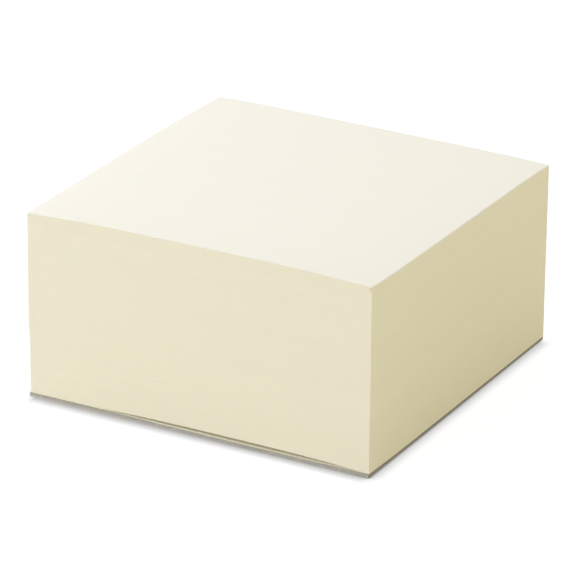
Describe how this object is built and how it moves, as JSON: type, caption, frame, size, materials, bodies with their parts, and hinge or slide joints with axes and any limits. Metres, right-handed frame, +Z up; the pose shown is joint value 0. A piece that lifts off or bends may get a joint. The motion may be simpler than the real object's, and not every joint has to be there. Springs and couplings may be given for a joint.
{
  "type": "memo block",
  "caption": "Half-cube block of plain loose note sheets, padded along its back edge on a thin chipboard backing.",
  "frame": {"origin": "middle of the footprint, on the surface that the backing board rests on", "axes": "+Z up out of the top sheet, +X to the right along the free front edge, +Y from the free front edge towards the glued back edge"},
  "size_m": [0.086, 0.0864, 0.0458],
  "materials": {
    "sheets": "matte",
    "chipboard": "matte",
    "padding_glue": "satin"
  },
  "bodies": {
    "root": {"sheet_stack": "sheets", "backing_board": "chipboard", "glue_binding": "padding_glue"}
  },
  "joints": []
}
